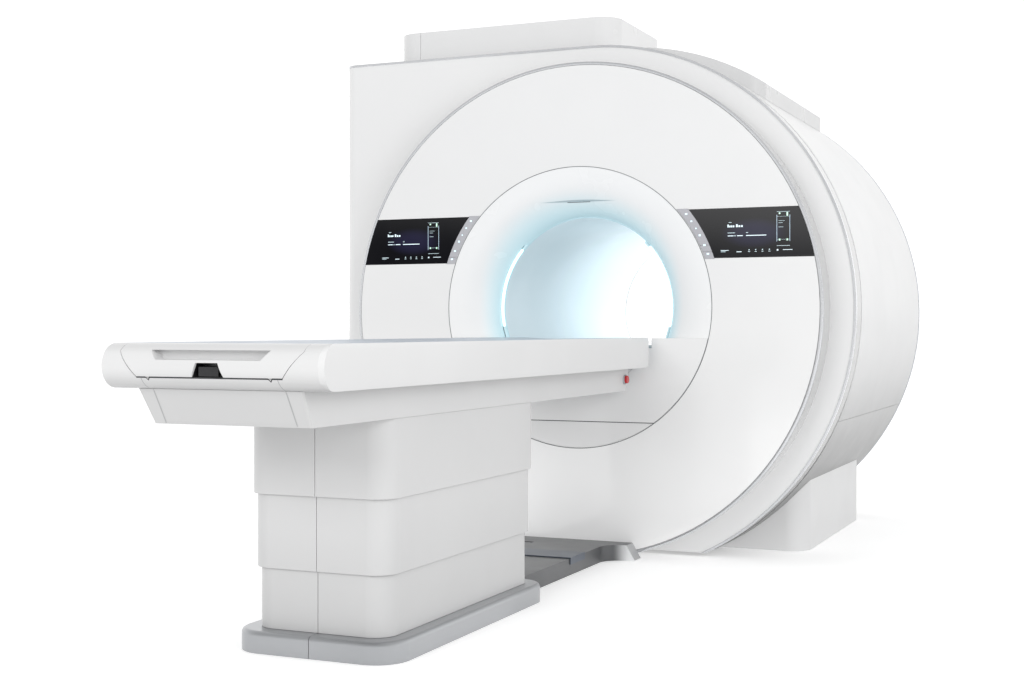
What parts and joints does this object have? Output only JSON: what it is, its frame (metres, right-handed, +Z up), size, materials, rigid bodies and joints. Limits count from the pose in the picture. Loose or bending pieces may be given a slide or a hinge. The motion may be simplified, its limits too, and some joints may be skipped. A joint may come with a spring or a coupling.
{
  "type": "mri scanner",
  "caption": "Whole-body MRI scanner: round magnet housing with flared patient bore, wall screens, and a floor-standing table that lifts on telescoping skirts and slides into the bore.",
  "frame": {"origin": "on the floor under the middle of the magnet feet, below the bore axis", "axes": "+X to the right for someone who faces the bore from the table end, +Y from the table into the bore, +Z up"},
  "size_m": [2.292, 4.364, 2.253],
  "materials": {
    "panel_white": "smooth painted cover, glossy white",
    "table_white": "satin white moulded cover",
    "cradle_grey": "matte blue-grey table top",
    "silver": "satin anodised",
    "bright_trim": "bright trim",
    "tray_metal": "dark grey painted",
    "strip_metal": "satin blue-grey",
    "screen_black": "black glass",
    "key_grey": "matte pale grey",
    "light": "lit light guide",
    "window_dark": "dark lens",
    "steel": "painted steel",
    "copper": "copper",
    "resin": "cast resin",
    "rubber": "matte",
    "black_plastic": "matte black",
    "red": "glossy red"
  },
  "bodies": {
    "magnet_and_base": {"barrel_cover_lower_left": "panel_white", "barrel_cover_lower_right": "panel_white", "barrel_cover_upper": "panel_white", "base_cover_left": "silver", "base_cover_right": "silver", "bore_bridge": "panel_white", "bore_liner": "panel_white", "brow_window": "window_dark", "column_lower": "steel", "cryostat_vessel": "steel", "disc_cover": "panel_white", "disc_trim": "bright_trim", "display_left": "screen_black", "display_right": "screen_black", "dock_panel": "panel_white", "flare_panel": "panel_white", "flare_panel_bottom": "panel_white", "floor_tray": "tray_metal", "foot_cover": "panel_white", "front_flare": "panel_white", "gradient_coil": "resin", "key_panel_left": "key_grey", "key_panel_right": "key_grey", "led_arc_left": "light", "led_arc_right": "light", "magnet_coils": "copper", "magnet_feet": "steel", "rear_cover": "panel_white", "rear_led_ring": "light", "rear_rim_trim": "bright_trim", "rf_body_coil": "copper", "service_turret": "steel", "skirt_low_left": "table_white", "skirt_low_right": "table_white", "surround_plate": "panel_white", "surround_trim": "bright_trim", "top_right_cover": "panel_white", "tray_strip": "strip_metal", "turret_box": "panel_white", "turret_box_end": "panel_white"},
    "table_middle": {"skirt_mid_left": "table_white", "skirt_mid_right": "table_white", "column_middle": "steel"},
    "table": {"skirt_top_left": "table_white", "skirt_top_right": "table_white", "column_upper": "steel", "underbody_cover": "table_white", "underbody_front": "table_white", "slab_shell": "table_white", "stop_collar": "key_grey", "drive_motor": "steel"},
    "sliding_top": {"cradle": "cradle_grey", "cradle_end_cap": "table_white"},
    "release_lever": {"release_lever": "black_plastic"},
    "drive_roller": {"drive_roller": "rubber"},
    "stop_button": {"stop_button": "red"},
    "key_left_a": {"key_left_a": "key_grey"},
    "key_left_b": {"key_left_b": "key_grey"},
    "key_right_a": {"key_right_a": "key_grey"},
    "key_right_b": {"key_right_b": "key_grey"}
  },
  "joints": [
    {"name": "table_lift", "type": "slide", "parent": "magnet_and_base", "child": "table", "axis": [0, 0, 1], "range_m": [-0.36, 0]},
    {"name": "middle_lift", "type": "slide", "parent": "magnet_and_base", "child": "table_middle", "axis": [0, 0, 1], "range_m": [-0.168, 0]},
    {"name": "cradle_slide", "type": "slide", "parent": "table", "child": "sliding_top", "axis": [0, 1, 0], "range_m": [0, 1.6]},
    {"name": "roller_spin", "type": "hinge", "parent": "table", "child": "drive_roller", "pos_m": [0, -1.178, 0.8317], "axis": [1, 0, 0], "range_deg": [-3700, 20]},
    {"name": "release_lever_pivot", "type": "hinge", "parent": "sliding_top", "child": "release_lever", "pos_m": [0, -3.541, 0.823], "axis": [1, 0, 0], "range_deg": [-22, 0], "stiffness_Nm_per_rad": 0.08, "springref_deg": 11.46},
    {"name": "stop_button_press", "type": "slide", "parent": "table", "child": "stop_button", "axis": [-1, 0, 0], "range_m": [0, 0.003], "stiffness_N_per_m": 900, "springref_m": -0.002},
    {"name": "key_left_a_press", "type": "slide", "parent": "magnet_and_base", "child": "key_left_a", "axis": [0, 1, 0], "range_m": [0, 0.001], "stiffness_N_per_m": 500, "springref_m": -0.001},
    {"name": "key_left_b_press", "type": "slide", "parent": "magnet_and_base", "child": "key_left_b", "axis": [0, 1, 0], "range_m": [0, 0.001], "stiffness_N_per_m": 500, "springref_m": -0.001},
    {"name": "key_right_a_press", "type": "slide", "parent": "magnet_and_base", "child": "key_right_a", "axis": [0, 1, 0], "range_m": [0, 0.001], "stiffness_N_per_m": 500, "springref_m": -0.001},
    {"name": "key_right_b_press", "type": "slide", "parent": "magnet_and_base", "child": "key_right_b", "axis": [0, 1, 0], "range_m": [0, 0.001], "stiffness_N_per_m": 500, "springref_m": -0.001}
  ],
  "couplings": [
    {"joint": "middle_lift", "follows": "table_lift", "ratio": 0.46},
    {"joint": "roller_spin", "follows": "cradle_slide", "rad_per_m": -40}
  ]
}
